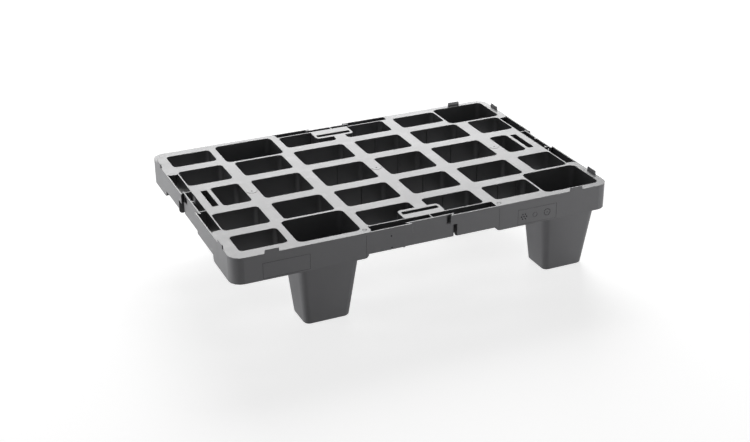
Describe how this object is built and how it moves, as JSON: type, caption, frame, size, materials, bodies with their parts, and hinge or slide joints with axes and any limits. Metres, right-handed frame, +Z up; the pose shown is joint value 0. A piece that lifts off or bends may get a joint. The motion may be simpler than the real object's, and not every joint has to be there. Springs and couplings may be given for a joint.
{
  "type": "plastic pallet",
  "caption": "Nestable quarter-size plastic pallet with an open grid deck, hollow tapered feet, an edge skirt and clip recesses.",
  "frame": {"origin": "under the middle of the plan, at the level of the soles", "axes": "+X along the long side, +Y from the front long side to the back, +Z up"},
  "size_m": [0.6, 0.4, 0.1453],
  "materials": {
    "polypropylene": "fine moulded grain, dark grey"
  },
  "bodies": {
    "root": {"pallet": "polypropylene"}
  },
  "joints": []
}
